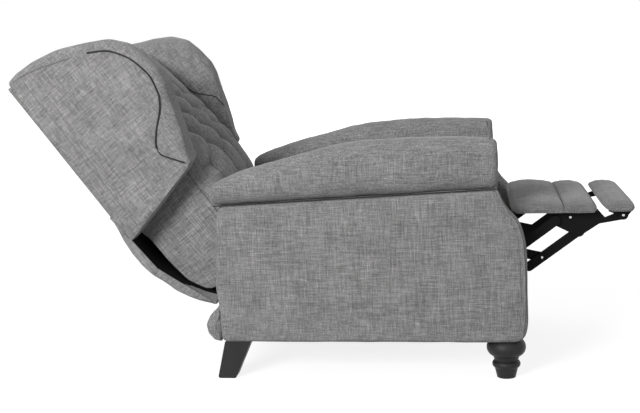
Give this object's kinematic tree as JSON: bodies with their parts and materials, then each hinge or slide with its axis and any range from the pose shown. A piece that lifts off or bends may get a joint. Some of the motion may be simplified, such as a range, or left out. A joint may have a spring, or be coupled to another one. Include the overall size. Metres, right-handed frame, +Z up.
{
  "type": "power recliner",
  "caption": "Power recliner with a tufted winged back, rolled arms and a padded fold-out footrest on a steel scissor linkage, shown reclined",
  "frame": {"origin": "on the floor, at the middle of the bounding box of the reclined chair", "axes": "X forward, from the back to the footrest; Y to the sitter's left; Z up"},
  "size_m": [1.5668, 0.6988, 0.8576],
  "materials": {
    "grey_linen": "grey heathered linen weave",
    "black_steel": "matt black powder coat",
    "frame_wood": "plain plywood",
    "dark_wood": "near-black satin lacquer",
    "dust_cloth": "black non-woven cloth",
    "spring_steel": "bright drawn steel",
    "motor_paint": "dark grey paint",
    "black_plastic": "matt black",
    "button_plastic": "satin dark grey"
  },
  "bodies": {
    "chassis": {"right_side_panel": "grey_linen", "left_side_panel": "grey_linen", "right_arm_pad": "grey_linen", "left_arm_pad": "grey_linen", "right_front_foot": "dark_wood", "left_front_foot": "dark_wood", "right_rear_leg": "dark_wood", "left_rear_leg": "dark_wood", "right_carriage_plate": "black_steel", "left_carriage_plate": "black_steel", "inner_panels": "grey_linen", "side_frames": "frame_wood", "base_rails": "black_steel", "base_cross_rails": "frame_wood", "rear_rail": "grey_linen", "dust_cover": "dust_cloth", "cross_tubes": "black_steel", "carriage_rivets": "black_steel", "drive_supports": "black_steel", "drive_tube": "black_steel", "motor": "motor_paint", "gearbox": "black_plastic", "power_inlet": "black_plastic", "seat_frame": "frame_wood", "seat_springs": "spring_steel", "seat_cushion": "grey_linen", "switch_bezel": "black_plastic"},
    "back": {"right_wing": "grey_linen", "left_wing": "grey_linen", "back_core": "grey_linen", "back_frame": "frame_wood", "back_outside_panel": "grey_linen", "rear_flap": "grey_linen", "back_brackets": "black_steel", "back_cushion": "grey_linen", "tuft_buttons": "grey_linen"},
    "lower_inner_links": {"right_lower_inner_link": "black_steel", "left_lower_inner_link": "black_steel", "footrest_torque_tube": "black_steel", "footrest_crank": "black_steel", "lower_link_rivets": "black_steel"},
    "lower_outer_links": {"right_lower_outer_link": "black_steel", "left_lower_outer_link": "black_steel"},
    "upper_inner_links": {"right_upper_inner_link": "black_steel", "left_upper_inner_link": "black_steel", "upper_link_rivets": "black_steel"},
    "upper_outer_links": {"right_upper_outer_link": "black_steel", "left_upper_outer_link": "black_steel"},
    "ottoman": {"right_ottoman_plate": "black_steel", "left_ottoman_plate": "black_steel", "ottoman_board": "frame_wood", "ottoman_rear_pad": "grey_linen", "ottoman_front_pad": "grey_linen", "ottoman_rivets": "black_steel"},
    "flipper": {"flipper_brackets": "black_steel", "flipper_board": "frame_wood", "flipper_pad": "grey_linen"},
    "push_rod": {"push_rod": "spring_steel"},
    "recline_button": {"recline_button": "button_plastic"},
    "return_button": {"return_button": "button_plastic"}
  },
  "joints": [
    {"name": "footrest_open", "type": "hinge", "parent": "chassis", "child": "lower_inner_links", "pos_m": [0.399, 0, 0.318], "axis": [0, 1, 0], "range_deg": [0, 76.59]},
    {"name": "lower_elbow", "type": "hinge", "parent": "lower_inner_links", "child": "lower_outer_links", "pos_m": [0.549, 0, 0.285], "axis": [0, 1, 0], "range_deg": [-109.6, 0.1]},
    {"name": "ottoman_pivot", "type": "hinge", "parent": "lower_outer_links", "child": "ottoman", "pos_m": [0.64, 0, 0.352], "axis": [0, 1, 0], "range_deg": [-0.1, 123]},
    {"name": "upper_inner_swing", "type": "hinge", "parent": "chassis", "child": "upper_inner_links", "pos_m": [0.373, 0, 0.289], "axis": [0, 1, 0], "range_deg": [-0.1, 70.6]},
    {"name": "upper_elbow", "type": "hinge", "parent": "upper_inner_links", "child": "upper_outer_links", "pos_m": [0.47, 0, 0.298], "axis": [0, 1, 0], "range_deg": [-100, 0.1]},
    {"name": "flipper_fold", "type": "hinge", "parent": "ottoman", "child": "flipper", "pos_m": [0.748, 0, 0.393], "axis": [0, 1, 0], "range_deg": [-0.1, 95.3]},
    {"name": "back_recline", "type": "hinge", "parent": "chassis", "child": "back", "pos_m": [-0.19, 0, 0.34], "axis": [0, 1, 0], "range_deg": [0, 30]},
    {"name": "push_rod_slide", "type": "slide", "parent": "chassis", "child": "push_rod", "axis": [1, 0, 0], "range_m": [-0.0952, 0.0001]},
    {"name": "recline_button_press", "type": "slide", "parent": "chassis", "child": "recline_button", "axis": [0, -1, 0], "range_m": [0, 0.002], "stiffness_N_per_m": 500},
    {"name": "return_button_press", "type": "slide", "parent": "chassis", "child": "return_button", "axis": [0, -1, 0], "range_m": [0, 0.002], "stiffness_N_per_m": 500}
  ],
  "couplings": [
    {"joint": "lower_elbow", "follows": "footrest_open", "ratio": -1.4273},
    {"joint": "ottoman_pivot", "follows": "footrest_open", "ratio": 1.6023},
    {"joint": "upper_inner_swing", "follows": "footrest_open", "ratio": 0.91785},
    {"joint": "upper_elbow", "follows": "footrest_open", "ratio": -1.3017},
    {"joint": "flipper_fold", "follows": "footrest_open", "ratio": 1.2403},
    {"joint": "push_rod_slide", "follows": "footrest_open", "m_per_rad": -0.0709}
  ]
}
